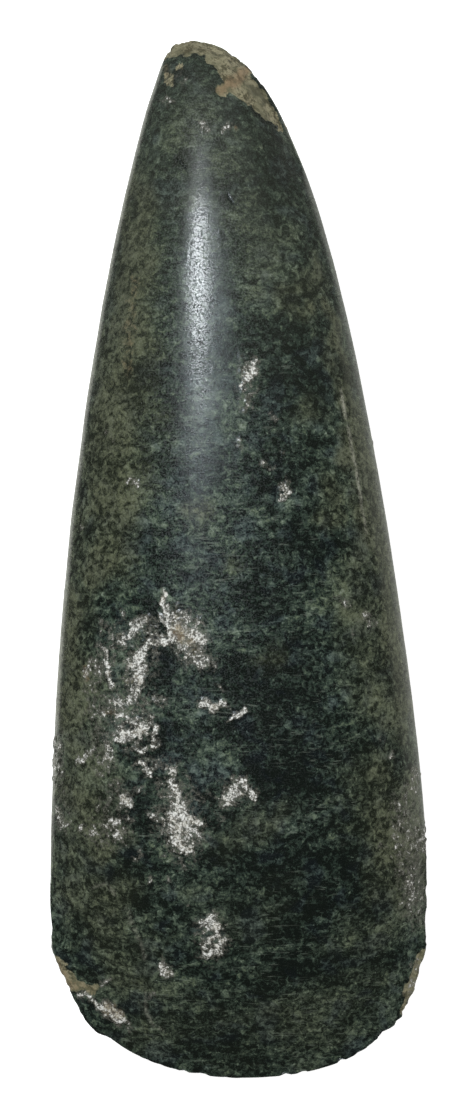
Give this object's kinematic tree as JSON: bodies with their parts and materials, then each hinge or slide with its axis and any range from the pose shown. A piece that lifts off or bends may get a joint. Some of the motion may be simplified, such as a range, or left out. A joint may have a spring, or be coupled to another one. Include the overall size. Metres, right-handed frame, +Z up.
{
  "type": "polished stone axe head",
  "caption": "Ground and polished stone axe head with an oval section, a pointed butt that is broken at the tip, a curved cutting edge with worn corners, and patches of pale crust.",
  "frame": {"origin": "middle of the stone's footprint, on the surface that it lies on", "axes": "+Y from the cutting edge to the butt, +X across the blade, +Z up out of the face that shows"},
  "size_m": [0.0636, 0.175, 0.0375],
  "materials": {
    "polished_serpentinite": "polished"
  },
  "bodies": {
    "root": {"axe_head": "polished_serpentinite"}
  },
  "joints": []
}
